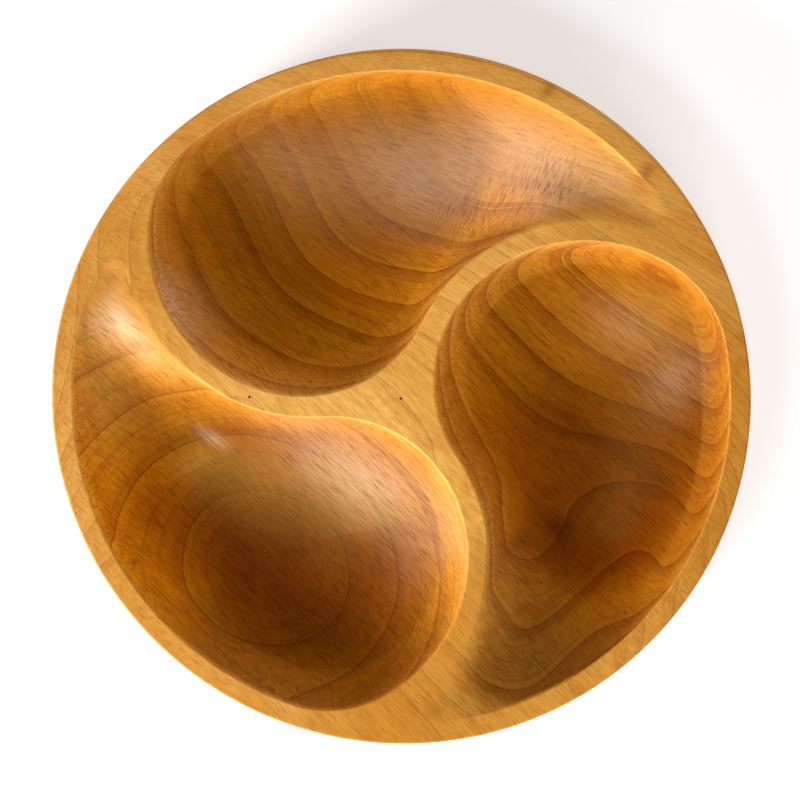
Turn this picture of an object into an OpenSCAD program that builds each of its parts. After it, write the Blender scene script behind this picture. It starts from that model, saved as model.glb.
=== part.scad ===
// Divided serving bowl carved from one round of wood.
// Three comma-shaped wells turn about the middle. Each has a deep round head
// and a tail that rises to the surface as it curls round the next head.
// Z is up, the feet stand on Z = 0, and the head of the first well lies on +X.

/* [Body] */
// Outer diameter at the top
body_d = 300; // [250:1:360]
// Height of the wood, without the feet
body_h = 38; // [34:1:50]
// Inward lean of the side from top to base, in degrees
side_lean = 5; // [0:1:12]
// Radius of the rounded lower edge
base_edge_r = 9; // [4:1:14]
// Radius of the eased upper edge
rim_edge_r = 0.8; // [0.4:0.1:2]

/* [Well outline] */
// Width of the flat rim outside the wells
rim_w = 8.8; // [6:0.2:14]
// Width of the webs between neighbouring wells
web_w = 8.8; // [6:0.2:14]
// Distance from the middle of the bowl to each well
hub_r = 11; // [8:0.5:16]
// How far the head's circle passes the rim line before the shoulder trims it
shoulder_trim = 3.4; // [1:0.2:6]
// Radius of the tail's tip in plan
tip_r = 8; // [5:0.5:11]

/* [Well depth] */
// Depth at the middle of the head
well_depth = 28; // [20:1:30]
// Depth just inside the tail's tip
tip_depth = 0.8; // [0.6:0.1:3]
// Steepness of the wall below the rim, in degrees
wall_slope = 72; // [60:1:80]
// Radius between the wall and the floor
floor_fillet_r = 14; // [8:1:16]
// Steepness of the dished floor where it leaves that radius, in degrees
dish_slope = 12; // [6:1:16]

/* [Feet] */
// Diameter of a foot where it meets the wood
foot_d = 14; // [10:1:20]
// Height of a foot
foot_h = 3; // [2:0.5:6]
// Radius of the circle that the feet stand on
foot_circle_r = 108; // [70:1:115]
// Radius of the rounded lower edge of a foot
foot_edge_r = 1.5; // [0.5:0.1:1.8]

/* [Hidden] */

wood = "burlywood";
rubber = "dimgray";
$fn = 96;

well_count = 3;
foot_count = 4;
// Overrun of a cut past the face that it opens
overrun = 0.2;

// Plan of one well, with its head on +X. All arcs meet in a common tangent.
body_r = body_d / 2;
well_r = body_r - rim_w;
head_r = (well_r - hub_r) / 2 + shoulder_trim;
head_c = [hub_r + head_r, 0];
// The tail goes round the head of the next well, one web away from it
next_head_c = polar(hub_r + head_r, -360 / well_count);
tail_r = head_r + web_w;
// Shoulder and waist blend the head into the rim line and into the tail
shoulder_share = 0.73;
waist_share = 0.85;
shoulder_r = head_r * shoulder_share;
waist_r = head_r * waist_share;
middle = [0, 0];
shoulder_c = crossing(middle, well_r - shoulder_r, head_c, head_r - shoulder_r, 1);
tip_c = crossing(middle, well_r - tip_r, next_head_c, tail_r + tip_r, 1);
waist_c = crossing(head_c, head_r - waist_r, next_head_c, tail_r + waist_r, -1);

// The spine is the line of greatest depth: an arc from the head to the tip
spine_start = [(hub_r + well_r) / 2, 0];
spine_bow_share = 0.21;
spine_chord = norm(tip_c - spine_start);
spine_bow = spine_chord * spine_bow_share;
spine_r = (pow(spine_chord / 2, 2) + pow(spine_bow, 2)) / (2 * spine_bow);
spine_c = crossing(spine_start, spine_r, tip_c, spine_r, -1);

// Steps round the outline. The two sides of the tail have the same steps,
// because both end on the spine's points.
spine_steps = 16;
waist_steps = 4;
head_steps = 24;
shoulder_steps = 6;
fan_steps = 3;
tip_steps = 5;

// Share of the spine at which the floor starts to rise
rise_share = 0.38;
// Shares of the spine between which the inner side turns from crisp to soft
soft_shares = [0.5, 0.75];
// Shares of the spine between which the outer wall does so too, up to the tip
fade_shares = [0.82, 1];
// Share of the soft side's fall that starts at once at its edge
soft_lead_share = 0.3;

fillet_steps = 5;
dish_steps = 5;

function polar(r, a) = [r * cos(a), r * sin(a)];
function heading(from, to) = atan2(to[1] - from[1], to[0] - from[0]);
// The same angle, given as one at or below the limit
function turned_below(a, limit) = a > limit ? turned_below(a - 360, limit) : a;
function clamped(x) = min(max(x, 0), 1);
function eased(x) = pow(clamped(x), 2) * (3 - 2 * clamped(x));
function mixed(a, b, share) = a + (b - a) * share;

// Where two circles cross: side is 1 for the left of the line from the first
// centre to the second, and -1 for its right
function crossing(c1, r1, c2, r2, side) =
    let (gap = norm(c2 - c1),
         along = (gap * gap + r1 * r1 - r2 * r2) / (2 * gap),
         across = side * sqrt(max(r1 * r1 - along * along, 0)),
         ahead = (c2 - c1) / gap)
    c1 + along * ahead + across * [-ahead[1], ahead[0]];

// An arc of the outline as stations [x, y, spine step, side].
// The arc's end is left out, because the next arc starts there.
// Side is 0 on the outer wall and 1 on the inner one.
function stations(c, r, from, to, steps, spine_from, spine_to, side_from, side_to) =
    [for (i = [0:steps - 1])
        let (share = i / steps, p = c + polar(r, mixed(from, to, share)))
        [p[0], p[1], round(mixed(spine_from, spine_to, share)), mixed(side_from, side_to, share)]];

shoulder_from = heading(head_c, shoulder_c);
shoulder_to = heading(middle, shoulder_c);
outer_to = heading(middle, tip_c);
tip_to = turned_below(heading(tip_c, next_head_c), outer_to);
tail_from = heading(next_head_c, tip_c);
tail_to = heading(next_head_c, waist_c);
waist_from = heading(waist_c, next_head_c);
waist_to = turned_below(heading(head_c, waist_c), waist_from);
head_to = turned_below(shoulder_from, waist_to);

outline = concat(
    stations(middle, well_r, shoulder_to, 0, fan_steps, 0, 0, 0, 0),
    stations(middle, well_r, 0, outer_to, spine_steps, 0, spine_steps, 0, 0),
    stations(tip_c, tip_r, outer_to, tip_to, tip_steps, spine_steps, spine_steps, 0, 1),
    stations(next_head_c, tail_r, tail_from, tail_to, spine_steps - waist_steps,
             spine_steps, waist_steps, 1, 1),
    stations(waist_c, waist_r, waist_from, waist_to, waist_steps, waist_steps, 0, 1, 1),
    stations(head_c, head_r, waist_to, head_to, head_steps, 0, 0, 0, 0),
    stations(shoulder_c, shoulder_r, shoulder_from, shoulder_to, shoulder_steps, 0, 0, 0, 0));
outline_steps = len(outline);

spine_from_angle = heading(spine_c, spine_start);
spine_to_angle = turned_below(heading(spine_c, tip_c), spine_from_angle);
spine = [for (i = [0:spine_steps])
    spine_c + polar(spine_r, mixed(spine_from_angle, spine_to_angle, i / spine_steps))];

// Greatest depth along the spine: level under the head, then a rise to the tip
function spine_depth(share) =
    mixed(well_depth, tip_depth, (1 - cos(180 * clamped((share - rise_share) / (1 - rise_share)))) / 2);

// Section of the head from its edge to the spine as [run, fall]:
// a steep straight wall, a round fillet and a dished floor
head_run = head_r;
fillet_run = floor_fillet_r * (sin(wall_slope) - sin(dish_slope));
fillet_fall = floor_fillet_r * (cos(dish_slope) - cos(wall_slope));
dish_pitch = tan(dish_slope) / 2;
wall_run = (well_depth - fillet_fall - dish_pitch * (head_run - fillet_run)) / (tan(wall_slope) - dish_pitch);
wall_fall = wall_run * tan(wall_slope);
dish_run = head_run - wall_run - fillet_run;
dish_fall = dish_pitch * dish_run;
head_section = concat(
    [for (i = [0:fillet_steps])
        let (slope = mixed(wall_slope, dish_slope, i / fillet_steps))
        [wall_run + floor_fillet_r * (sin(wall_slope) - sin(slope)),
         wall_fall + floor_fillet_r * (cos(slope) - cos(wall_slope))]],
    [for (i = [1:dish_steps - 1])
        let (share = i / dish_steps)
        [wall_run + fillet_run + dish_run * share,
         wall_fall + fillet_fall + dish_fall * share * (2 - share)]]);
// The same section as shares of its run and its fall
section_shares = [for (p = head_section) [p[0] / head_run, p[1] / well_depth]];

function soft_fall(run) = mixed(eased(run), run * (2 - run), soft_lead_share);
// How far a station lies between two shares of the spine, eased at both ends
function eased_between(station, shares) =
    eased((station[2] / spine_steps - shares[0]) / (shares[1] - shares[0]));
// Softness of the edge at a station
function softness(station) =
    max(station[3] * eased_between(station, soft_shares), eased_between(station, fade_shares));
// Share of the depth that is reached after a share of the run
function fall_share(station, level) =
    mixed(section_shares[level][1], soft_fall(section_shares[level][0]), softness(station));

// A point of the well's surface on a station's line to the spine
function well_point(station, run, z) =
    let (p = mixed([station[0], station[1]], spine[station[2]], run))
    [p[0], p[1], z];

// Rings of the cut, in order: the edge carried on above the top, then every
// level of the section
function edge_ring() = [for (s = outline)
    let (depth = spine_depth(s[2] / spine_steps),
         back = overrun * section_shares[0][0] / (depth * fall_share(s, 0)))
    well_point(s, -back, overrun)];
function level_ring(level) = [for (s = outline)
    well_point(s, section_shares[level][0], -spine_depth(s[2] / spine_steps) * fall_share(s, level))];

levels = len(section_shares);
cut_rings = concat(edge_ring(), [for (i = [0:levels - 1]) each level_ring(i)]);
ring_count = levels + 1;
lid_start = ring_count * outline_steps;
floor_start = lid_start + spine_steps + 1;
cut_points = concat(
    cut_rings,
    [for (p = spine) [p[0], p[1], overrun]],
    [for (i = [0:spine_steps]) [spine[i][0], spine[i][1], -spine_depth(i / spine_steps)]]);

// Triangles that join two neighbouring rings
function band_faces(ring) = [for (i = [0:outline_steps - 1])
    let (next = (i + 1) % outline_steps, a = ring * outline_steps, b = a + outline_steps)
    each [[a + i, b + i, b + next], [a + i, b + next, a + next]]];
// A face that looks the other way when flip is true
function turned(face, flip) = flip ? [face[2], face[1], face[0]] : face;
// Triangles that join a ring to the spine's points, which neighbours may share
function spine_faces(ring, start, flip) = [for (i = [0:outline_steps - 1])
    let (next = (i + 1) % outline_steps, a = ring * outline_steps,
         s = start + outline[i][2], t = start + outline[next][2])
    each [turned([a + next, a + i, s], flip), if (s != t) turned([t, a + next, s], flip)]];

cut_faces = concat(
    spine_faces(0, lid_start, true),
    [for (ring = [0:ring_count - 2]) each band_faces(ring)],
    spine_faces(ring_count - 1, floor_start, false));

// Solid that one well removes, with the top of the wood at Z = 0
module well_cut() {
    polyhedron(points = cut_points, faces = cut_faces, convexity = 8);
}

// Half of the body's section: a leaning side between two rounded edges
side_x = body_r - rim_edge_r;
base_x = body_r - tan(side_lean) * body_h - base_edge_r;
module body_profile() {
    polygon([
        [0, 0],
        [base_x, 0],
        [base_x + base_edge_r * cos(side_lean), base_edge_r * (1 - sin(side_lean))],
        [side_x + rim_edge_r * cos(side_lean), body_h - rim_edge_r * (1 + sin(side_lean))],
        [side_x, body_h],
        [0, body_h]]);
    translate([base_x, base_edge_r]) circle(r = base_edge_r);
    translate([side_x, body_h - rim_edge_r]) circle(r = rim_edge_r);
}

module bowl_body() {
    color(wood)
        translate([0, 0, foot_h])
            difference() {
                rotate_extrude() body_profile();
                for (i = [0:well_count - 1])
                    rotate([0, 0, i * 360 / well_count])
                        translate([0, 0, body_h])
                            well_cut();
            }
}

// Foot: a low button with a flat top, a leaning side and a rounded lower edge
foot_lean_share = 0.9;
module foot_profile() {
    foot_r = foot_d / 2;
    tread_x = foot_r * foot_lean_share - foot_edge_r;
    polygon([[0, 0], [tread_x, 0], [tread_x + foot_edge_r, foot_edge_r], [foot_r, foot_h], [0, foot_h]]);
    translate([tread_x, foot_edge_r]) circle(r = foot_edge_r);
}

module foot(place) {
    turn = 360 / foot_count * (place + 1 / 2);
    color(rubber)
        rotate([0, 0, turn])
            translate([foot_circle_r, 0, 0])
                rotate_extrude() foot_profile();
}

module foot_back_right() { foot(0); }
module foot_back_left() { foot(1); }
module foot_front_left() { foot(2); }
module foot_front_right() { foot(3); }

bowl_body();
foot_front_left();
foot_front_right();
foot_back_left();
foot_back_right();
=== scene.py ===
"""Divided serving bowl as it looks: one block of wood with three carved wells, on four rubber feet."""

import math

import bmesh
import bpy
from mathutils import Matrix, Vector


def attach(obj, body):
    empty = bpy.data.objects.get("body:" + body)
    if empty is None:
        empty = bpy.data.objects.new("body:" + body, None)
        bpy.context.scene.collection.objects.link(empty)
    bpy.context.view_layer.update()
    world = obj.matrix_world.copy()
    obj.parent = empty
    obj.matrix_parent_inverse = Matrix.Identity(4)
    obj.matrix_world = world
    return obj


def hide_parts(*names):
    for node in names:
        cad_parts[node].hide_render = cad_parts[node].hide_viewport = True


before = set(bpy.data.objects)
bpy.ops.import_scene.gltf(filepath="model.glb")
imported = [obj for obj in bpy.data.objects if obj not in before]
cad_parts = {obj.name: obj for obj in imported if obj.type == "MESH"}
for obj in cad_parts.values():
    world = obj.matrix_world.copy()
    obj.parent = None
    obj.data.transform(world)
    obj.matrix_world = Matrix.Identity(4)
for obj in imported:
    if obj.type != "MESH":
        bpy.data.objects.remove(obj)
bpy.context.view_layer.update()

# Sizes of the bowl in millimetres, as in the part's source
MM = 0.001
BODY_R = 150
BODY_H = 38
SIDE_LEAN = math.radians(5)
BASE_EDGE_R = 9
RIM_EDGE_R = 0.8
RIM_W = 8.8
WEB_W = 8.8
HUB_R = 11
SHOULDER_TRIM = 3.4
TIP_R = 8
WELL_DEPTH = 28
TIP_DEPTH = 0.8
WALL_SLOPE = math.radians(72)
FLOOR_FILLET_R = 14
DISH_SLOPE = math.radians(12)
FOOT_H = 3
TOP = FOOT_H + BODY_H
BODY_MIDDLE = FOOT_H + BODY_H / 2
WELLS = 3

# Shares that shape a well
SHOULDER_SHARE = 0.73
WAIST_SHARE = 0.85
SPINE_BOW_SHARE = 0.21
RISE_SHARE = 0.38
SOFT_FROM = 0.5
SOFT_TO = 0.75
FADE_FROM = 0.82
SOFT_LEAD_SHARE = 0.3

# Hand-eased edges of the wells
CRISP_EDGE_R = 0.7
SOFT_EDGE_R = 9
EDGE_SHARE = 0.6

# Steps round a well's edge and from its edge to its deepest line
SPINE_STEPS = 72
WAIST_STEPS = 16
HEAD_STEPS = 110
SHOULDER_STEPS = 24
FAN_STEPS = 12
TIP_STEPS = 22
EDGE_STEPS = 4
WALL_STEPS = 3
FILLET_STEPS = 12
DISH_STEPS = 14
RIM_STEPS = 288
BASE_EDGE_STEPS = 10
RIM_EDGE_STEPS = 3

# How near points of a well are to be merged, and how near a face is to a plane that it lies in
MERGE_GAP = 0.02
LEVEL_GAP = 0.001

# Marks left where the blank was pinned for carving: places, radius and depth, and how narrow
# their pointed ends are as a share of the radius
PIN_MARKS = ((0, 0), (-64.9, 0.2))
PIN_R = 0.55
PIN_DEPTH = 3
PIN_STEPS = 16
PIN_POINT = 0.05


def polar(radius, angle):
    return Vector((radius * math.cos(angle), radius * math.sin(angle)))


def heading(start, end):
    return math.atan2(end.y - start.y, end.x - start.x)


def turned_below(angle, limit):
    """The same angle, given as one at or below the limit."""
    while angle > limit:
        angle -= 2 * math.pi
    return angle


def mixed(low, high, share):
    return low + (high - low) * share


def eased(share):
    share = min(max(share, 0), 1)
    return share * share * (3 - 2 * share)


def crossing(c1, r1, c2, r2, side):
    """Where two circles cross, to the left of the line between their centres for side 1."""
    gap = (c2 - c1).length
    along = (gap * gap + r1 * r1 - r2 * r2) / (2 * gap)
    across = side * math.sqrt(max(r1 * r1 - along * along, 0))
    ahead = (c2 - c1) / gap
    return c1 + along * ahead + across * Vector((-ahead.y, ahead.x))


MIDDLE = Vector((0, 0))
WELL_R = BODY_R - RIM_W
HEAD_R = (WELL_R - HUB_R) / 2 + SHOULDER_TRIM
HEAD_C = Vector((HUB_R + HEAD_R, 0))
NEXT_HEAD_C = polar(HUB_R + HEAD_R, -2 * math.pi / WELLS)
TAIL_R = HEAD_R + WEB_W
SHOULDER_R = HEAD_R * SHOULDER_SHARE
WAIST_R = HEAD_R * WAIST_SHARE
SHOULDER_C = crossing(MIDDLE, WELL_R - SHOULDER_R, HEAD_C, HEAD_R - SHOULDER_R, 1)
TIP_C = crossing(MIDDLE, WELL_R - TIP_R, NEXT_HEAD_C, TAIL_R + TIP_R, 1)
WAIST_C = crossing(HEAD_C, HEAD_R - WAIST_R, NEXT_HEAD_C, TAIL_R + WAIST_R, -1)

SPINE_START = Vector(((HUB_R + WELL_R) / 2, 0))
SPINE_CHORD = (TIP_C - SPINE_START).length
SPINE_BOW = SPINE_CHORD * SPINE_BOW_SHARE
SPINE_R = ((SPINE_CHORD / 2) ** 2 + SPINE_BOW**2) / (2 * SPINE_BOW)
SPINE_C = crossing(SPINE_START, SPINE_R, TIP_C, SPINE_R, -1)
SPINE_FROM = heading(SPINE_C, SPINE_START)
SPINE_TO = turned_below(heading(SPINE_C, TIP_C), SPINE_FROM)

FILLET_RUN = FLOOR_FILLET_R * (math.sin(WALL_SLOPE) - math.sin(DISH_SLOPE))
FILLET_FALL = FLOOR_FILLET_R * (math.cos(DISH_SLOPE) - math.cos(WALL_SLOPE))
DISH_PITCH = math.tan(DISH_SLOPE) / 2
WALL_RUN = (WELL_DEPTH - FILLET_FALL - DISH_PITCH * (HEAD_R - FILLET_RUN)) / (
    math.tan(WALL_SLOPE) - DISH_PITCH
)
WALL_FALL = WALL_RUN * math.tan(WALL_SLOPE)
DISH_RUN = HEAD_R - WALL_RUN - FILLET_RUN
DISH_FALL = DISH_PITCH * DISH_RUN
WALL_SHARE = WALL_RUN / HEAD_R
WALL_PITCH_SHARE = (WALL_FALL / WELL_DEPTH) / WALL_SHARE


def section_fall(share):
    """Share of the depth reached after a share of the run: wall, fillet, then dished floor."""
    run = share * HEAD_R
    if run <= WALL_RUN:
        fall = run * math.tan(WALL_SLOPE)
    elif run <= WALL_RUN + FILLET_RUN:
        slope = math.asin(math.sin(WALL_SLOPE) - (run - WALL_RUN) / FLOOR_FILLET_R)
        fall = WALL_FALL + FLOOR_FILLET_R * (math.cos(slope) - math.cos(WALL_SLOPE))
    else:
        dish = (run - WALL_RUN - FILLET_RUN) / DISH_RUN
        fall = WALL_FALL + FILLET_FALL + DISH_FALL * dish * (2 - dish)
    return fall / WELL_DEPTH


def soft_fall(share):
    return mixed(eased(share), share * (2 - share), SOFT_LEAD_SHARE)


class Station:
    """A place on a well's edge, with the straight line from it to the well's deepest line."""

    def __init__(self, edge, spine_share, side):
        self.edge = edge
        turn = mixed(SPINE_FROM, SPINE_TO, spine_share)
        self.deepest = SPINE_C + polar(SPINE_R, turn)
        rise = min(max((spine_share - RISE_SHARE) / (1 - RISE_SHARE), 0), 1)
        self.depth = mixed(WELL_DEPTH, TIP_DEPTH, (1 - math.cos(math.pi * rise)) / 2)
        inner = side * eased((spine_share - SOFT_FROM) / (SOFT_TO - SOFT_FROM))
        self.soft = max(inner, eased((spine_share - FADE_FROM) / (1 - FADE_FROM)))
        self.run = (self.deepest - edge).length
        pitch = mixed(WALL_PITCH_SHARE, 2 * SOFT_LEAD_SHARE, self.soft)
        self.slope = math.atan(pitch * self.depth / self.run)
        widest = EDGE_SHARE * WALL_SHARE * self.run / math.tan(self.slope / 2)
        self.edge_r = min(mixed(CRISP_EDGE_R, SOFT_EDGE_R, self.soft), widest)

    def point(self, run, fall):
        place = self.edge.lerp(self.deepest, run / self.run)
        return Vector((place.x, place.y, TOP - fall)) * MM

    def edge_point(self, share):
        """A point of the rounding between the top and the wall."""
        angle = self.slope * share
        start = self.edge_r * math.tan(self.slope / 2)
        return self.point(self.edge_r * math.sin(angle) - start, self.edge_r * (1 - math.cos(angle)))

    def wall_point(self, share):
        start = self.edge_r * (math.sin(self.slope) - math.tan(self.slope / 2)) / self.run
        return self.floor_point(mixed(start, WALL_SHARE, share))

    def floor_point(self, share):
        fall = mixed(section_fall(share), soft_fall(share), self.soft)
        return self.point(share * self.run, self.depth * fall)


def arc_stations(centre, radius, angles, steps, spine_shares, sides):
    """Stations along one arc of a well's edge. The arc's end belongs to the next arc."""
    stations = []
    for step in range(steps):
        share = step / steps
        edge = centre + polar(radius, mixed(*angles, share))
        stations.append(Station(edge, mixed(*spine_shares, share), mixed(*sides, share)))
    return stations


def well_stations():
    shoulder_from = heading(HEAD_C, SHOULDER_C)
    shoulder_to = heading(MIDDLE, SHOULDER_C)
    outer_to = heading(MIDDLE, TIP_C)
    tip_to = turned_below(heading(TIP_C, NEXT_HEAD_C), outer_to)
    tail = (heading(NEXT_HEAD_C, TIP_C), heading(NEXT_HEAD_C, WAIST_C))
    waist_from = heading(WAIST_C, NEXT_HEAD_C)
    waist_to = turned_below(heading(HEAD_C, WAIST_C), waist_from)
    head_to = turned_below(shoulder_from, waist_to)
    waist_share = WAIST_STEPS / SPINE_STEPS
    tail_steps = SPINE_STEPS - WAIST_STEPS
    return (
        arc_stations(MIDDLE, WELL_R, (shoulder_to, 0), FAN_STEPS, (0, 0), (0, 0))
        + arc_stations(MIDDLE, WELL_R, (0, outer_to), SPINE_STEPS, (0, 1), (0, 0))
        + arc_stations(TIP_C, TIP_R, (outer_to, tip_to), TIP_STEPS, (1, 1), (0, 1))
        + arc_stations(NEXT_HEAD_C, TAIL_R, tail, tail_steps, (1, waist_share), (1, 1))
        + arc_stations(WAIST_C, WAIST_R, (waist_from, waist_to), WAIST_STEPS, (waist_share, 0), (1, 1))
        + arc_stations(HEAD_C, HEAD_R, (waist_to, head_to), HEAD_STEPS, (0, 0), (0, 0))
        + arc_stations(SHOULDER_C, SHOULDER_R, (shoulder_from, shoulder_to), SHOULDER_STEPS, (0, 0), (0, 0))
    )


def well_levels():
    """How each ring of the well is placed, from the top face down to the deepest line."""
    levels = [("edge_point", step / EDGE_STEPS) for step in range(EDGE_STEPS + 1)]
    levels += [("wall_point", step / WALL_STEPS) for step in range(1, WALL_STEPS + 1)]
    for step in range(1, FILLET_STEPS + 1):
        slope = mixed(WALL_SLOPE, DISH_SLOPE, step / FILLET_STEPS)
        run = WALL_RUN + FLOOR_FILLET_R * (math.sin(WALL_SLOPE) - math.sin(slope))
        levels.append(("floor_point", run / HEAD_R))
    floor_share = (WALL_RUN + FILLET_RUN) / HEAD_R
    for step in range(1, DISH_STEPS + 1):
        levels.append(("floor_point", mixed(floor_share, 1, step / DISH_STEPS)))
    return levels


def deselect():
    for obj in bpy.context.selected_objects:
        obj.select_set(False)


def edit(obj):
    """Opens a piece in edit mode and gives its mesh."""
    deselect()
    obj.select_set(True)
    bpy.context.view_layer.objects.active = obj
    bpy.ops.object.mode_set(mode="EDIT")
    return bmesh.from_edit_mesh(obj.data)


def leave():
    bpy.ops.object.mode_set(mode="OBJECT")


def choose(obj, wanted, kind="verts"):
    """Selects the mesh's parts that pass a test, and nothing else."""
    bpy.ops.mesh.select_mode(type={"verts": "VERT", "edges": "EDGE", "faces": "FACE"}[kind])
    bpy.ops.mesh.select_all(action="DESELECT")
    mesh = bmesh.from_edit_mesh(obj.data)
    for item in getattr(mesh, kind):
        if wanted(item):
            item.select_set(True)
    mesh.select_flush_mode()
    bmesh.update_edit_mesh(obj.data)


def is_cap(face):
    """Whether a face closes an end of the block. The others have three or four corners."""
    return len(face.verts) > 4


def round_end(body, is_low, edge_r, lean, steps):
    """Rounds the edge of the block's underside or of its top, where its side leans by an angle."""

    def borders_end(edge):
        level = all((vert.co.z < BODY_MIDDLE * MM) == is_low for vert in edge.verts)
        return level and any(is_cap(face) for face in edge.link_faces)

    choose(body, borders_end, "edges")
    bpy.ops.mesh.bevel(
        offset_type="OFFSET",
        offset=edge_r / math.tan((math.pi / 2 + lean) / 2) * MM,
        segments=steps,
        profile=0.5,
        affect="EDGES",
    )


def turned_body():
    """The outside of the block: a cylinder with a leaning side and two rounded edges, open at the top."""
    deselect()
    bpy.ops.mesh.primitive_cylinder_add(
        vertices=RIM_STEPS,
        radius=BODY_R * MM,
        depth=BODY_H * MM,
        location=(0, 0, BODY_MIDDLE * MM),
        end_fill_type="NGON",
    )
    body = bpy.context.object
    body.name = "carved_bowl"
    bpy.ops.object.transform_apply(location=True, rotation=True, scale=True)
    edit(body)
    choose(body, lambda vert: vert.co.z < BODY_MIDDLE * MM)
    base_share = 1 - math.tan(SIDE_LEAN) * BODY_H / BODY_R
    bpy.ops.transform.resize(value=(base_share, base_share, 1), center_override=(0, 0, FOOT_H * MM))
    round_end(body, True, BASE_EDGE_R, SIDE_LEAN, BASE_EDGE_STEPS)
    round_end(body, False, RIM_EDGE_R, -SIDE_LEAN, RIM_EDGE_STEPS)
    choose(body, lambda face: is_cap(face) and face.normal.z > 0, "faces")
    bpy.ops.mesh.delete(type="ONLY_FACE")
    leave()
    return body


def carved_well():
    """The surface of one well: its edge extruded ring by ring down to the deepest line."""
    stations = well_stations()
    deselect()
    bpy.ops.mesh.primitive_circle_add(vertices=len(stations), radius=HEAD_R * MM, fill_type="NOTHING")
    well = bpy.context.object
    well.name = "well"
    mesh = edit(well)
    place = mesh.verts.layers.int.new("place")
    for vert in mesh.verts:
        vert[place] = vert.index
        vert.select_set(True)
    mesh.select_flush_mode()
    bmesh.update_edit_mesh(well.data)
    for number, (method, share) in enumerate(well_levels()):
        if number:
            bpy.ops.mesh.extrude_edges_indiv()
        mesh = bmesh.from_edit_mesh(well.data)
        place = mesh.verts.layers.int["place"]
        for vert in mesh.verts:
            if vert.select:
                vert.co = getattr(stations[vert[place]], method)(share)
        bmesh.update_edit_mesh(well.data)
    bpy.ops.mesh.remove_doubles(threshold=MERGE_GAP * MM)
    leave()
    return well


def pin_hole(place):
    """The inside of a pinhole, with a straight wall and a pointed end."""
    place = Vector((*place, TOP)) * MM
    deselect()
    bpy.ops.mesh.primitive_circle_add(
        vertices=PIN_STEPS, radius=PIN_R * MM, fill_type="NOTHING", location=place
    )
    hole = bpy.context.object
    bpy.ops.object.transform_apply(location=True, rotation=True, scale=True)
    edit(hole)
    for depth, closing in ((PIN_DEPTH, 1), (PIN_R, PIN_POINT)):
        bpy.ops.mesh.extrude_edges_indiv()
        mesh = bmesh.from_edit_mesh(hole.data)
        for vert in mesh.verts:
            if vert.select:
                vert.co.z -= depth * MM
                vert.co.xy = mixed(place.xy, vert.co.xy, closing)
        bmesh.update_edit_mesh(hole.data)
    bpy.ops.mesh.edge_face_add()
    leave()
    return hole


def is_level(face):
    """Whether a face lies in the top face or in the underside."""
    heights = [vert.co.z / MM for vert in face.verts]
    return any(all(abs(height - plane) < LEVEL_GAP for height in heights) for plane in (TOP, FOOT_H))


def carved_bowl():
    """The bowl as one closed mesh: the block, its wells and the pinholes, joined by the top face."""
    body = turned_body()
    well = carved_well()
    parts = [body, well]
    for turn in range(1, WELLS):
        copy = well.copy()
        copy.data = well.data.copy()
        bpy.context.collection.objects.link(copy)
        copy.data.transform(Matrix.Rotation(2 * math.pi * turn / WELLS, 4, "Z"))
        parts.append(copy)
    parts += [pin_hole(place) for place in PIN_MARKS]
    deselect()
    for part in parts:
        part.select_set(True)
    bpy.context.view_layer.objects.active = body
    bpy.ops.object.join()
    edit(body)
    choose(body, lambda edge: edge.is_boundary, "edges")
    bpy.ops.mesh.fill(use_beauty=True)
    bpy.ops.mesh.select_all(action="SELECT")
    bpy.ops.mesh.normals_make_consistent(inside=False)
    choose(body, lambda edge: len({is_level(face) for face in edge.link_faces}) == 2, "edges")
    bpy.ops.mesh.mark_sharp()
    leave()
    bpy.ops.object.shade_smooth()
    return body


def colour(red, green, blue):
    """A colour as it looks on screen, given in steps of 255, as linear light."""
    linear = []
    for part in (red, green, blue):
        part /= 255
        linear.append(part / 12.92 if part <= 0.04045 else ((part + 0.055) / 1.055) ** 2.4)
    return (*linear, 1)


class Signal:
    """A socket that can be used in sums. Each sum adds a Math node."""

    def __init__(self, finish, socket):
        self.finish, self.socket = finish, socket

    def math(self, operation, *values):
        settings = {"operation": operation}
        return self.finish.node("ShaderNodeMath", settings, dict(enumerate(values)))

    def __add__(self, other):
        return self.math("ADD", self, other)

    def __sub__(self, other):
        return self.math("SUBTRACT", self, other)

    def __mul__(self, other):
        return self.math("MULTIPLY", self, other)

    def __truediv__(self, other):
        return self.math("DIVIDE", self, other)

    def __pow__(self, other):
        return self.math("POWER", self, other)

    def __radd__(self, other):
        return self.math("ADD", other, self)

    def __rsub__(self, other):
        return self.math("SUBTRACT", other, self)

    def __rmul__(self, other):
        return self.math("MULTIPLY", other, self)

    def __rtruediv__(self, other):
        return self.math("DIVIDE", other, self)

    def exp(self):
        return self.math("EXPONENT", self)

    def sine(self):
        return self.math("SINE", self)

    def at_least(self, value):
        return self.math("MAXIMUM", self, value)

    def at_most(self, value):
        return self.math("MINIMUM", self, value)

    def between(self, start, end):
        """Goes smoothly from 0 at the start to 1 at the end, which may be the lower value."""
        settings = {"interpolation_type": "SMOOTHSTEP"}
        values = {"Value": self, "From Min": start, "From Max": end}
        return self.finish.node("ShaderNodeMapRange", settings, values)


# Strength of every bump
BUMP_STRENGTH = 0.25


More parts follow.
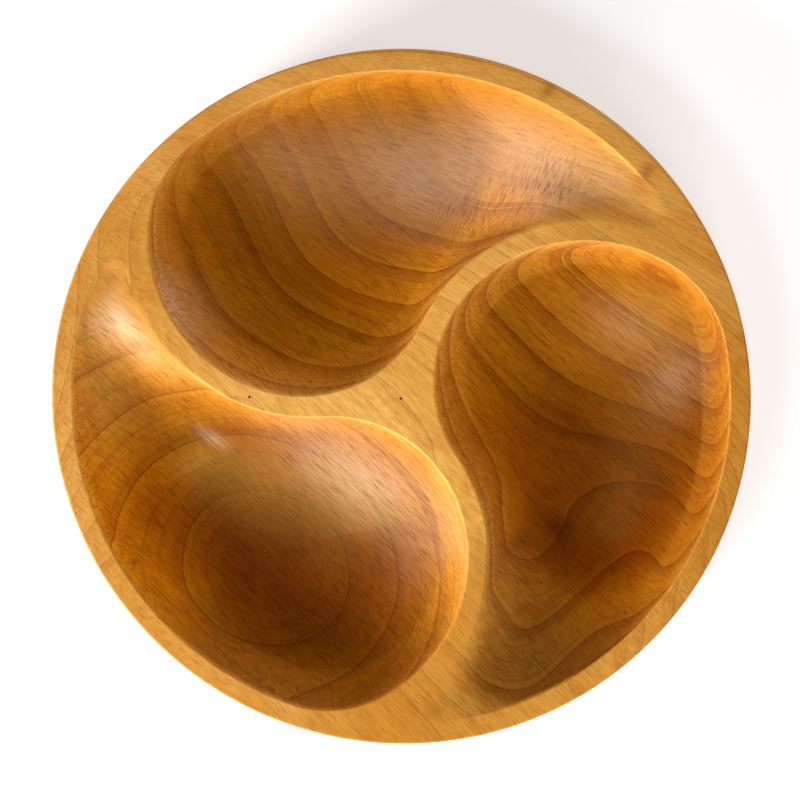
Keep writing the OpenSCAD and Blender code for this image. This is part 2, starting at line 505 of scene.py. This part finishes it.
class Finish:
    """A material and the one way in which its nodes are made."""

    def __init__(self, name):
        self.material = bpy.data.materials.new(name)
        self.material.use_nodes = True
        self.tree = self.material.node_tree
        self.tree.nodes.clear()

    def node(self, kind, settings=None, values=None, output=0):
        node = self.tree.nodes.new(kind)
        for name, setting in (settings or {}).items():
            if name == "stops":
                self.set_stops(node.color_ramp, setting)
            else:
                setattr(node, name, setting)
        for name, value in (values or {}).items():
            if isinstance(value, Signal):
                self.tree.links.new(value.socket, node.inputs[name])
            else:
                node.inputs[name].default_value = value
        return Signal(self, node.outputs[output]) if node.outputs else None

    @staticmethod
    def set_stops(ramp, stops):
        """Gives a ramp its stops, each a position and a grey level."""
        while len(ramp.elements) < len(stops):
            ramp.elements.new(1)
        for element, (position, level) in zip(ramp.elements, stops):
            element.position = position
            element.color = (level, level, level, 1)

    def split(self, vector):
        """The three parts of a vector."""
        return [self.node("ShaderNodeSeparateXYZ", None, {0: vector}, axis) for axis in range(3)]

    def noise(self, vector, scale, detail, roughness):
        values = {"Vector": vector, "Scale": scale, "Detail": detail, "Roughness": roughness}
        return self.node("ShaderNodeTexNoise", {"noise_dimensions": "3D"}, values)

    def pattern(self, measures, sizes, detail, roughness):
        """Noise over three measures in millimetres, with the size of its spots over each."""
        spots = [measure / size for measure, size in zip(measures, sizes)]
        vector = self.node("ShaderNodeCombineXYZ", None, dict(enumerate(spots)))
        return self.noise(vector, 1, detail, roughness)

    def mix(self, share, low, high, blend="MIX"):
        """Mixes two colours."""
        settings = {"data_type": "RGBA", "blend_type": blend}
        return self.node("ShaderNodeMix", settings, {0: share, 6: low, 7: high}, 2)

    def bump(self, height, rise):
        """A bump whose highest places rise by a length in millimetres."""
        values = {"Height": height, "Strength": BUMP_STRENGTH, "Distance": rise * MM}
        return self.node("ShaderNodeBump", None, values)

    def surface(self, values):
        shader = self.node("ShaderNodeBsdfPrincipled", None, values)
        self.node("ShaderNodeOutputMaterial", {"target": "ALL"}, {"Surface": shader})
        return self.material


# How the grain runs and bends in plan, in millimetres
GRAIN_TURN = math.radians(-32)
GRAIN_SLANT = 0.3
GRAIN_BOW = 44
GRAIN_BOW_OVER = 110

# How the year rings lie in the block, in millimetres: they are shells round a pith high above
# the top face, which is bowed in plan. Its turn and bow, and the rings' tilt and bow, are
# offsets at RING_SPAN along it. These values, the rings, the swells and the rounds come from a
# fit to the ring lines in the photo.
RING_TURN = math.radians(-24.9)
RING_SPAN = 100
PITH_ACROSS = -200
PITH_TURN = -28.8
PITH_BOW = 67.7
PITH_UP = 284.8
RING_TILT = -3.1
RING_BOW = 58.4
# Depth of each ring below the top, straight under the pith, and the depths that are looked at
RINGS = (62, 74, 86.4, 100.6, 113.1, 125.2, 138, 151.8, 167.3, 170.1, 184, 198)
RING_FROM, RING_TO = 46, 214
# How far from a ring the distance to it is told, and the gap between two rings' ranges
RING_NEAR = 10
RING_GAP = 0.01
# Keeps a ring's width finite where the surface runs along it
LEAST_STEEP = 0.01
# Places where the shells swell or sink: middle in plan, reach, and lift in millimetres
SWELLS = (
    (120.6, -58.5, 36.4, -35.5),
    (98.8, -120.8, 29.7, -40),
    (-127, 95.3, 39.7, -40),
    (-21.2, 68.2, 26.1, 10.2),
    (-60.6, -54.5, 60, 33.2),
    (27.3, -96.8, 43, 40),
)
# In the left well the rings show as rounds about its floor, shaped in plan alone
ROUNDS_C = (-55.7, -79.8)
ROUNDS_TURN = math.radians(64.8)
ROUNDS_REACH = (32, 36.4)
ROUNDS_SKEW = -0.17
ROUNDS_TOP = 121.4
ROUNDS_STEP = 20.8
# How much the rings wander and waver, in millimetres
RING_DRIFT = 2
RING_WAVER = 0.35

# Spans over which masks come in, in millimetres: inside the rim, above the underside and below
# the top for all wells, and for the left one past a head's circle, toward +X and below the top
RIM_SPAN = (WELL_R + 2, WELL_R + 0.4)
BASE_SPAN = (WELL_DEPTH + 3, WELL_DEPTH + 1)
WELL_SPAN = (0.2, 4)
HEAD_SPAN = (70, 73)
LEFT_X_SPAN = (-60, -40)
LEFT_WELL_SPAN = (0.1, 1.5)

# Patterns in the wood: sizes of their spots in millimetres over three measures, detail, roughness
DRIFT = ((40, 40, 25), 2, 0.5)
WAVER = ((3, 3, 2), 2, 0.5)
CLOUDS = ((90, 45, 40), 2, 0.5)
STREAKS = ((45, 2, 1.6), 4, 0.6)
MOTTLES = ((16, 9, 16), 3, 0.55)
FIBRES = ((3.5, 0.22, 2), 1, 0.5)
GROWTH = ((90, 90, 0.9), 2, 0.6)
SWIRLS = ((8, 8, 8), 1, 0.5)
PORES = ((8, 0.3, 4), 1, 0.5)
TUFTED_PORES = ((6, 0.36, 4), 1, 0.5)
# The span of each pattern's level over which it comes in
CLOUD_LEVELS = (0.3, 0.7)
STREAK_LEVELS = (0.35, 0.8)
MOTTLE_LEVELS = (0.5, 0.75)
FIBRE_LEVELS = (0.45, 0.65)
GROWTH_LEVELS = (0.5, 0.7)
PORE_LEVELS = (0.53, 0.65)
# How strongly layers show. Where there are more values, the second is what the wells add and the
# third what the left well takes off that.
STREAK_SHARE = 0.5
MOTTLE_SHARE = 0.45
BURL_SHARE = 0.8
DARK_BAND_SHARES = (0.15, 0.4, 0.25)
PALE_BAND_SHARES = (0.1, 0.35, 0.15)
FIBRE_SHARES = (0.2, 0.1)
GROWTH_SHARES = (0.1, 0.25)
LINE_SHARES = (0.3, 0.25)
# Bands beside a ring: how far past it each starts, is strongest and ends, in millimetres
DARK_BAND = (-7, -0.3, 0.2)
PALE_BAND = (-0.2, 0.4, 4)
LINE_REACH = 0.3
# The rings show less in the upper part of the bowl
FAINT_SPAN = (70, 105)
FAINT_SHARE = 0.5

# Where the fibres stand up below the upper tail: middle in plan, directions, reach across, and
# spans along in which they come in and end
TUFT_C = (50, 85)
TUFT_TURN = math.radians(28)
TUFT_GRAIN = math.radians(68)
TUFT_REACH = 11
TUFT_START = (-48, -25)
TUFT_END = (42, 22)
# How dark the pores are, how much more so where the fibres stand up, and how much fewer there
# are on the rim
PORE_SHARE = 0.5
TUFT_SHARE = 0.1
RIM_PORES_LESS = 0.03
# Curly figure on the outer wall of the right well: middle in plan, reach, and how many radians
# its swirls turn through
BURL_C = (128, -4)
BURL_REACH = (6, 16)
SWIRL_RADIANS = 90
# Darker blotches in the wood, and patches of painted shade in the wells: middle in plan, reach
# along and across the grain, and strength
BLOTCHES_AND_SHADE = (
    (66, -59, 5, 3, 0.7),
    (50, -65, 4, 5, 0.55),
    (102, -44, 2, 1.2, 0.7),
    (101, -37, 1.2, 0.8, 0.6),
    (98, -51, 2.4, 0.8, 0.4),
    (-89, -18, 2.4, 1.2, 0.6),
    (95, -28, 28, 2.5, 0.5),
    (-44, 47, 14, 4, 0.3),
    (-118, 36, 5, 2, 0.45),
    (105, 98, 2, 4, 0.5),
    (63, 133, 2, 3, 0.5),
    # The next four are painted shade, where the wells lie in shade
    (52, -78, 14, 14, 0.55),
    (-47, -59, 15, 10, 0.45),
    (-109, -3, 14, 10, 0.35),
    (-76, -36, 8, 8, 0.5),
    (62, 109, 16, 6, 0.2),
    (-62, 113, 18, 8, 0.15),
)
# Painted sheen: pale patches on the wells' slopes where light glances off them. Middle in plan,
# reach along and across the grain, and strength. They show by how far the noise of the pores stays
# below a level.
SHEEN_PATCHES = (
    (3, 92, 20, 11, 0.4),
    (22, 97, 14, 10, 0.35),
    (45, 100, 17, 9, 0.15),
    (116, 6, 8, 10, 0.25),
    (95, 28, 12, 8, 0.15),
    (-32, 90, 26, 13, 0.1),
    (58, 98, 20, 11, 0.5),
    (98, 90, 16, 8, 0.25),
    (-119, 40, 18, 10, 1),
    (-18, -38, 26, 11, 0.55),
    (-52, 100, 12, 8, 0.1),
    (10, -68, 8, 14, 0.15),
    (-83, -21, 5, 2, 0.5),
)
SHEEN_LEVEL = 1.3

# Tones of the wood
PALE_TONE = colour(235, 179, 94)
MID_TONE = colour(220, 158, 66)
DEEP_TONE = colour(188, 110, 26)
MOTTLE_TONE = colour(200, 118, 38)
DARK_BAND_TONE = colour(168, 92, 22)
PALE_BAND_TONE = colour(236, 178, 104)
LINE_TONE = colour(104, 50, 10)
FIBRE_TONE = colour(150, 86, 30)
GROWTH_TONE = colour(150, 82, 20)
BURL_TONE = colour(150, 84, 20)
# Tone of the blotches and of the painted shade among them
BLOTCH_AND_SHADE_TONE = colour(138, 66, 14)
# Tone of the painted sheen
SHEEN_TONE = colour(252, 214, 178)

# Tints, which the tones are multiplied by, and the spans over which they come in. Painted shade
# darkens the wells deeper down; hands, sun and use have darkened the rest.
PORE_TINT = (0.34, 0.26, 0.2, 1)
WELL_SHADE_TINTS = ((0.86, 0.71, 0.37, 1), (0.84, 0.59, 0.08, 1))
WELL_SHADE_SPAN = (0.1, 3)
WELL_SHADE_DEEP_SPAN = (6, 22)
HANDLED_TINT = (0.86, 0.79, 0.74, 1)
HANDLED_SPAN = (50, 130)
OUTSIDE_TINT = (0.8, 0.72, 0.6, 1)
OUTSIDE_SPAN = (0.5, 2)
SUNNED_TINT = (0.88, 0.8, 0.55, 1)
SUNNED_SPAN = (20, 150)
# Painted shade in the wells, and one patch of painted light on the left well's left side: the
# measures that bound each, with the span over which it comes in, and its tint
WELL_SHADE_AND_LIGHT = (
    ((("depth", 18, 26), ("up", 0.9, 0.99)), (0.8, 0.74, 0.5, 1)),
    ((("depth", 20, 27), ("y", 20, -20), ("x", -95, -70)), (0.7, 0.5, 0.05, 1)),
    ((("depth", 22, 27.5), ("x", 20, -20), ("y", -30, -60)), (0.76, 0.62, 0.3, 1)),
    ((("depth", 21, 27.5), ("y", 40, 70)), (0.8, 0.76, 0.6, 1)),
    ((("aslant", 60, 125),), (0.78, 0.68, 0.3, 1)),
    ((("y", -80, -115),), (0.62, 0.52, 0.36, 1)),
    ((("y", -80, -115), ("x", 10, 40)), (0.84, 0.84, 0.9, 1)),
    ((("x", -75, -105), ("y", -10, -45)), (1.3, 1.28, 0.4, 1)),
)
SHADE_SLANT = 0.3

# Gloss: level wood is smoother than a slope, and more so deeper down
SLOPE_ROUGHNESS = 0.72
LEVEL_SPAN = (0.87, 0.98)
LEVEL_GLOSS = 0.22
DEEP_GLOSS = 0.23
DEEP_GLOSS_SPAN = (4, 16)
OIL_IOR = 1.52
GLOSS_TINT = (1, 0.66, 0.12, 1)
WOOD_RISE = 0.2


def turned(x, y, angle):
    """Plan measures along and across a direction."""
    cos_turn, sin_turn = math.cos(angle), math.sin(angle)
    return x * cos_turn + y * sin_turn, y * cos_turn - x * sin_turn


def soft_oval(along, across, long, wide):
    """A mask that is 1 in the middle of an oval and fades over its reaches."""
    along, across = along / long, across / wide
    return ((along * along + across * across) * -0.5).exp()


def grain_oval(x, y, middle_x, middle_y, long, wide):
    """The mask of a soft oval that lies along the grain."""
    off_along, off_across = turned(x - middle_x, y - middle_y, GRAIN_TURN)
    return soft_oval(off_along, off_across, long, wide)


def band(past, start, strongest, end):
    """A mask that comes in from its start and ends again."""
    return past.between(start, strongest) - past.between(strongest, end)


def plan_distance(x, y, place):
    return ((x - place.x) ** 2 + (y - place.y) ** 2) ** 0.5


def grain(x, y):
    """Measures along and across the fibres, which bend in plan."""
    fibre, side = turned(x, y, GRAIN_TURN)
    upper = y.at_least(0) / GRAIN_BOW_OVER
    return fibre, side + upper * upper * upper * GRAIN_BOW - y * GRAIN_SLANT


def tufts(x, y):
    """A mask of the band below the upper tail where the fibres stand up."""
    down_tail, over_tail = turned(x - TUFT_C[0], y - TUFT_C[1], TUFT_TURN)
    across = (over_tail * over_tail / (-2 * TUFT_REACH**2)).exp()
    return across * down_tail.between(*TUFT_START) * down_tail.between(*TUFT_END)


def left_well(x, y, depth):
    """A mask of the lower left well, which lies between two heads' circles."""
    upper, lower = (polar(HEAD_C.x, 2 * math.pi * turn / WELLS) for turn in (1, 2))
    below_upper = plan_distance(x, y, upper).between(*HEAD_SPAN)
    past_lower = plan_distance(x, y, lower).between(*HEAD_SPAN) * x.between(*LEFT_X_SPAN)
    return below_upper * (1 - past_lower) * depth.between(*LEFT_WELL_SPAN)


def rounds(x, y):
    """The shells of the left well, falling from its floor outward."""
    long, wide = turned(x - ROUNDS_C[0], y - ROUNDS_C[1], ROUNDS_TURN)
    long, wide = long / ROUNDS_REACH[0], wide / ROUNDS_REACH[1]
    square = long * long + wide * wide
    skewed = 1 + wide * ROUNDS_SKEW / (square + 1) ** 0.5
    fallen = ROUNDS_TOP - square**0.5 * skewed * ROUNDS_STEP
    return fallen.at_most(ROUNDS_TOP - ROUNDS_STEP / 2)


def shells(x, y, depth):
    """Which shell a place lies in, by its depth straight under the pith, and how shells lean there."""
    along, across = turned(x, y, RING_TURN)
    reach = along / RING_SPAN
    from_pith = across - (PITH_ACROSS + PITH_TURN * reach + PITH_BOW * reach * reach)
    shell = depth + from_pith * from_pith / (2 * PITH_UP) + RING_TILT * reach + RING_BOW * reach * reach
    lean_across = from_pith / PITH_UP
    lean_along = RING_TILT / RING_SPAN + reach * (2 * RING_BOW / RING_SPAN)
    lean_along = lean_along - lean_across * (PITH_TURN / RING_SPAN + reach * (2 * PITH_BOW / RING_SPAN))
    lean_x, lean_y = turned(lean_along, lean_across, -RING_TURN)
    for middle_x, middle_y, swell_reach, lift in SWELLS:
        off_x, off_y = x - middle_x, y - middle_y
        swell = soft_oval(off_x, off_y, swell_reach, swell_reach) * lift
        shell = shell + swell
        lean_x = lean_x - off_x * swell / swell_reach**2
        lean_y = lean_y - off_y * swell / swell_reach**2
    return shell, lean_x, lean_y


def ring_distance(finish, shell, steep):
    """How far past the nearest ring a place lies, in millimetres along the cut surface."""
    span = RING_TO - RING_FROM
    edges = [RING_FROM] + [(low + high) / 2 for low, high in zip(RINGS, RINGS[1:])] + [RING_TO]
    stops = []
    for ring, low, high in zip(RINGS, edges, edges[1:]):
        for end in (low + RING_GAP, high - RING_GAP):
            distance = min(max(end - ring, -RING_NEAR), RING_NEAR)
            stops.append(((ring + distance - RING_FROM) / span, 0.5 + distance / (2 * RING_NEAR)))
    values = {"Fac": (shell - RING_FROM) / span}
    ramp = finish.node("ShaderNodeValToRGB", {"stops": stops}, values)
    return (ramp - 0.5) * (2 * RING_NEAR) / steep


class OiledWood(Finish):
    """The bowl's wood: the measures and masks that its layers share, and the layers themselves."""

    def __init__(self):
        super().__init__("oiled_wood")
        place = self.node("ShaderNodeTexCoord", None, None, "Object")
        in_mm = self.node("ShaderNodeVectorMath", {"operation": "SCALE"}, {0: place, "Scale": 1 / MM})
        facing = self.node("ShaderNodeNewGeometry", None, None, "Normal")
        self.x, self.y, height = self.split(in_mm)
        self.east, self.north, self.up = self.split(facing)
        self.depth = TOP - height
        self.aslant = self.x - self.y * SHADE_SLANT
        self.from_middle = plan_distance(self.x, self.y, MIDDLE)
        self.hollow = self.from_middle.between(*RIM_SPAN) * self.depth.between(*BASE_SPAN)
        self.in_well = self.depth.between(*WELL_SPAN) * self.hollow
        self.in_left = left_well(self.x, self.y, self.depth)
        self.tuft = tufts(self.x, self.y) * self.in_well
        self.shell, self.past = self.rings()
        fibre, side = grain(self.x, self.y)
        self.along_grain = (fibre, side, self.depth)
        self.streaks = self.pattern((fibre, side, self.shell), *STREAKS)
        self.pores = self.bent_pores()

    def rings(self):
        """The shell of each place, and how far past the nearest ring it lies.

        How steeply the cut surface crosses the shells sets how wide the rings show.
        """
        shell, lean_x, lean_y = shells(self.x, self.y, self.depth)
        through = self.up - lean_x * self.east - lean_y * self.north
        steep = (1 + LEAST_STEEP + lean_x * lean_x + lean_y * lean_y - through * through) ** 0.5
        shell = shell + (rounds(self.x, self.y) - shell) * self.in_left
        steep = steep + (ROUNDS_STEP / ROUNDS_REACH[0] - steep) * self.in_left
        for spots, amount in ((DRIFT, RING_DRIFT), (WAVER, RING_WAVER)):
            shell = shell + (self.pattern((self.x, self.y, self.depth), *spots) - 0.5) * amount
        return shell, ring_distance(self, shell, steep)

    def bent_pores(self):
        """The noise of the pores, which run along the grain and turn where the fibres stand up."""
        pores = self.pattern(self.along_grain, *PORES)
        standing, beside = turned(self.x, self.y, TUFT_GRAIN)
        tufted = self.pattern((standing, beside, self.depth), *TUFTED_PORES)
        return pores + (tufted - pores) * self.tuft

    def strength(self, rim, wells_add, left_less=0):
        """How strongly a layer shows on the rim and in each well."""
        return rim + self.in_well * (wells_add - self.in_left * left_less)

    def tinted(self, tone, share, tint):
        """Multiplies a tone by a tint where the share is 1."""
        return self.mix(share, tone, tint, "MULTIPLY")

    def plain(self):
        """Clouds of pale wood, with streaks and mottles along the grain."""
        clouds = self.pattern(self.along_grain, *CLOUDS)
        mottles = self.pattern(self.along_grain, *MOTTLES)
        tone = self.mix(clouds.between(*CLOUD_LEVELS), MID_TONE, PALE_TONE)
        tone = self.mix(self.streaks.between(*STREAK_LEVELS) * STREAK_SHARE, tone, DEEP_TONE)
        return self.mix(mottles.between(*MOTTLE_LEVELS) * MOTTLE_SHARE, tone, MOTTLE_TONE)

    def banded(self, tone, faint):
        """Adds the dark band before each ring and the pale one after it."""
        before = band(self.past, *DARK_BAND) * faint * self.strength(*DARK_BAND_SHARES)
        after = band(self.past, *PALE_BAND) * faint * self.strength(*PALE_BAND_SHARES)
        return self.mix(after, self.mix(before, tone, DARK_BAND_TONE), PALE_BAND_TONE)

    def blotched_and_shaded(self, tone):
        """Adds the curly figure, the darker blotches and the patches of painted shade."""
        swirls = (self.pattern((self.x, self.y, self.depth), *SWIRLS) * SWIRL_RADIANS).sine()
        burl = soft_oval(self.x - BURL_C[0], self.y - BURL_C[1], *BURL_REACH)
        tone = self.mix(swirls.between(0, 1) * burl * self.in_well * BURL_SHARE, tone, BURL_TONE)
        # Some of these darken the wells as painted shade
        for *oval, strength in BLOTCHES_AND_SHADE:
            tone = self.mix(grain_oval(self.x, self.y, *oval) * strength, tone, BLOTCH_AND_SHADE_TONE)
        return tone

    def lined(self, tone, faint):
        """Adds the fine fibres, the growth between the rings and the line of each ring."""
        fibres = self.pattern(self.along_grain, *FIBRES)
        growth = self.pattern((self.x, self.y, self.shell), *GROWTH)
        line = (self.past * self.past / -(LINE_REACH**2)).exp()
        tone = self.mix(fibres.between(*FIBRE_LEVELS) * self.strength(*FIBRE_SHARES), tone, FIBRE_TONE)
        tone = self.mix(growth.between(*GROWTH_LEVELS) * self.strength(*GROWTH_SHARES), tone, GROWTH_TONE)
        return self.mix(line * self.strength(*LINE_SHARES) * faint, tone, LINE_TONE)

    def shaded_in_wells(self, tone):
        """Tints the wells with painted shade, deeper down and in patches, and with one patch of painted
        light.
        """
        # Painted shade: the wells turn darker and more orange deeper down
        well_shade = self.mix(self.depth.between(*WELL_SHADE_DEEP_SPAN), *WELL_SHADE_TINTS)
        tone = self.tinted(tone, self.depth.between(*WELL_SHADE_SPAN) * self.hollow, well_shade)
        # Painted shade and light: each tint darkens part of a well, and the last lightens the left well's
        # left side
        for spans, tint in WELL_SHADE_AND_LIGHT:
            share = self.in_well
            for measure, start, end in spans:
                share = share * getattr(self, measure).between(start, end)
            tone = self.tinted(tone, share, tint)
        return tone

    def worn(self, tone):
        """Darkens the rim, where it is held, the outer side, and the rim toward the lower right."""
        on_rim = 1 - self.in_well
        tone = self.tinted(tone, self.from_middle.between(*HANDLED_SPAN) * on_rim, HANDLED_TINT)
        tone = self.tinted(tone, self.depth.between(*OUTSIDE_SPAN) * (1 - self.hollow), OUTSIDE_TINT)
        return self.tinted(tone, (self.x - self.y).between(*SUNNED_SPAN) * on_rim, SUNNED_TINT)

    def with_painted_sheen(self, tone):
        """Adds the patches of painted sheen, which the pores break up."""
        for *oval, strength in SHEEN_PATCHES:
            sheen = grain_oval(self.x, self.y, *oval) * self.in_well * strength
            tone = self.mix(sheen * (SHEEN_LEVEL - self.pores), tone, SHEEN_TONE)
        return tone

    def pored(self, tone):
        """Darkens the pores, of which the rim has fewer."""
        fewer = (1 - self.in_well) * RIM_PORES_LESS
        dark = (self.pores - fewer).between(*PORE_LEVELS) * (PORE_SHARE + self.tuft * TUFT_SHARE)
        return self.tinted(tone, dark, PORE_TINT)

    def tone(self):
        """The colour of the wood, layer over layer."""
        faint = 1 - self.y.between(*FAINT_SPAN) * FAINT_SHARE
        tone = self.banded(self.plain(), faint)
        tone = self.lined(self.blotched_and_shaded(tone), faint)
        tone = self.worn(self.shaded_in_wells(tone))
        return self.pored(self.with_painted_sheen(tone))

    def roughness(self):
        gloss = LEVEL_GLOSS + self.depth.between(*DEEP_GLOSS_SPAN) * DEEP_GLOSS
        return SLOPE_ROUGHNESS - self.up.between(*LEVEL_SPAN) * gloss


def wood():
    finish = OiledWood()
    return finish.surface(
        {
            "Base Color": finish.tone(),
            "Roughness": finish.roughness(),
            "IOR": OIL_IOR,
            "Specular Tint": GLOSS_TINT,
            "Normal": finish.bump(finish.pores + finish.streaks, WOOD_RISE),
        }
    )


# Rubber of the feet: its tones, the spots that a metre holds in each pattern with their detail and
# roughness, how rough it is and by how much that varies, and its bumps in millimetres
RUBBER_TONES = (colour(34, 34, 35), colour(44, 44, 45))
RUBBER_SPECKLE = (2500, 3, 0.6)
RUBBER_CLOUD = (220, 2, 0.5)
RUBBER_CLOUD_LEVELS = (0.3, 0.7)
RUBBER_ROUGHNESS = 0.75
RUBBER_ROUGHER = 0.2
RUBBER_RISE = 0.1


def foot_rubber():
    finish = Finish("foot_rubber")
    place = finish.node("ShaderNodeTexCoord", None, None, "Object")
    speckle = finish.noise(place, *RUBBER_SPECKLE)
    cloud = finish.noise(place, *RUBBER_CLOUD)
    return finish.surface(
        {
            "Base Color": finish.mix(cloud.between(*RUBBER_CLOUD_LEVELS), *RUBBER_TONES),
            "Roughness": RUBBER_ROUGHNESS + (speckle - 0.5) * RUBBER_ROUGHER,
            "Normal": finish.bump(speckle, RUBBER_RISE),
        }
    )


# The white floor: how much light it throws back, how brightly it glows where the camera or a
# reflection sees it, and its size in metres
FLOOR_WHITE = (0.8, 0.8, 0.8, 1)
FLOOR_GLOW = 0.5
FLOOR_SIZE = 6


def floor_white():
    finish = Finish("floor_white")
    seen = finish.node("ShaderNodeLightPath", None, None, "Is Camera Ray")
    for ray in ("Is Glossy Ray", "Is Transmission Ray"):
        seen = seen.at_least(finish.node("ShaderNodeLightPath", None, None, ray))
    matt = finish.node("ShaderNodeBsdfDiffuse", None, {"Color": FLOOR_WHITE})
    glow = finish.node("ShaderNodeEmission", None, {"Color": (1, 1, 1, 1), "Strength": seen * FLOOR_GLOW})
    both = finish.node("ShaderNodeAddShader", None, {0: matt, 1: glow})
    finish.node("ShaderNodeOutputMaterial", {"target": "ALL"}, {"Surface": both})
    return finish.material


# The camera looks down on the bowl through a long lens, a little from its back right. It sees
# what lies between two distances in metres.
FRAME_W = 342.6
AIM = (-0.32, -0.63, TOP)
LENS = 600
SENSOR = 36
CAMERA_TILT = math.radians(8.4)
CAMERA_SIDE = math.radians(68.7)
CAMERA_SEES = (0.1, 50)


def camera():
    data = bpy.data.cameras.new("camera")
    data.lens, data.sensor_width = LENS, SENSOR
    data.clip_start, data.clip_end = CAMERA_SEES
    cam = bpy.data.objects.new("camera", data)
    bpy.context.collection.objects.link(cam)
    aim = Vector(AIM) * MM
    side = polar(math.sin(CAMERA_TILT), CAMERA_SIDE)
    back = Vector((side.x, side.y, math.cos(CAMERA_TILT)))
    up = Vector((0, 1, 0))
    up = (up - back * up.dot(back)).normalized()
    right = up.cross(back)
    turn = Matrix((right, up, back)).transposed().to_4x4()
    cam.matrix_world = Matrix.Translation(aim + back * (FRAME_W * MM * LENS / SENSOR)) @ turn
    bpy.context.scene.camera = cam


# The soft boxes: azimuth from +X and elevation in degrees, distance and size in metres, and watts
LAMPS = {
    "key_lamp": (212, 14, 1.8, 1.0, 84),
    "side_lamp": (300, 14, 1.8, 1.0, 26),
    "back_lamp": (60, 14, 1.8, 1.0, 19),
    "top_lamp": (240, 63, 1.0, 0.25, 1.8),
}
WORLD_LIGHT = 0.12


def lamp(name, azimuth, elevation, distance, size, power):
    """A square soft box that faces the bowl."""
    data = bpy.data.lights.new(name, "AREA")
    data.shape, data.size, data.energy = "SQUARE", size, power
    box = bpy.data.objects.new(name, data)
    bpy.context.collection.objects.link(box)
    azimuth, elevation = math.radians(azimuth), math.radians(elevation)
    flat = polar(math.cos(elevation), azimuth)
    away = Vector((flat.x, flat.y, math.sin(elevation)))
    box.location = away * distance + Vector((0, 0, TOP * MM))
    box.rotation_mode = "QUATERNION"
    box.rotation_quaternion = away.to_track_quat("Z", "Y")


def studio():
    for name, place_and_power in LAMPS.items():
        lamp(name, *place_and_power)
    world = bpy.data.worlds.new("studio")
    bpy.context.scene.world = world
    world.use_nodes = True
    backdrop = world.node_tree.nodes["Background"]
    backdrop.inputs["Color"].default_value = (1, 1, 1, 1)
    backdrop.inputs["Strength"].default_value = WORLD_LIGHT
    deselect()
    bpy.ops.mesh.primitive_plane_add(size=FLOOR_SIZE)
    floor = bpy.context.object
    floor.name = "floor"
    floor.data.materials.append(floor_white())


bowl = carved_bowl()
bowl.data.materials.clear()
bowl.data.materials.append(wood())
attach(bowl, "root")
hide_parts("bowl_body")

rubber = foot_rubber()
for name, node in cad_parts.items():
    if name.startswith("foot"):
        for slot in node.material_slots:
            slot.material = rubber

camera()
studio()
bpy.context.scene.view_settings.view_transform = "Standard"
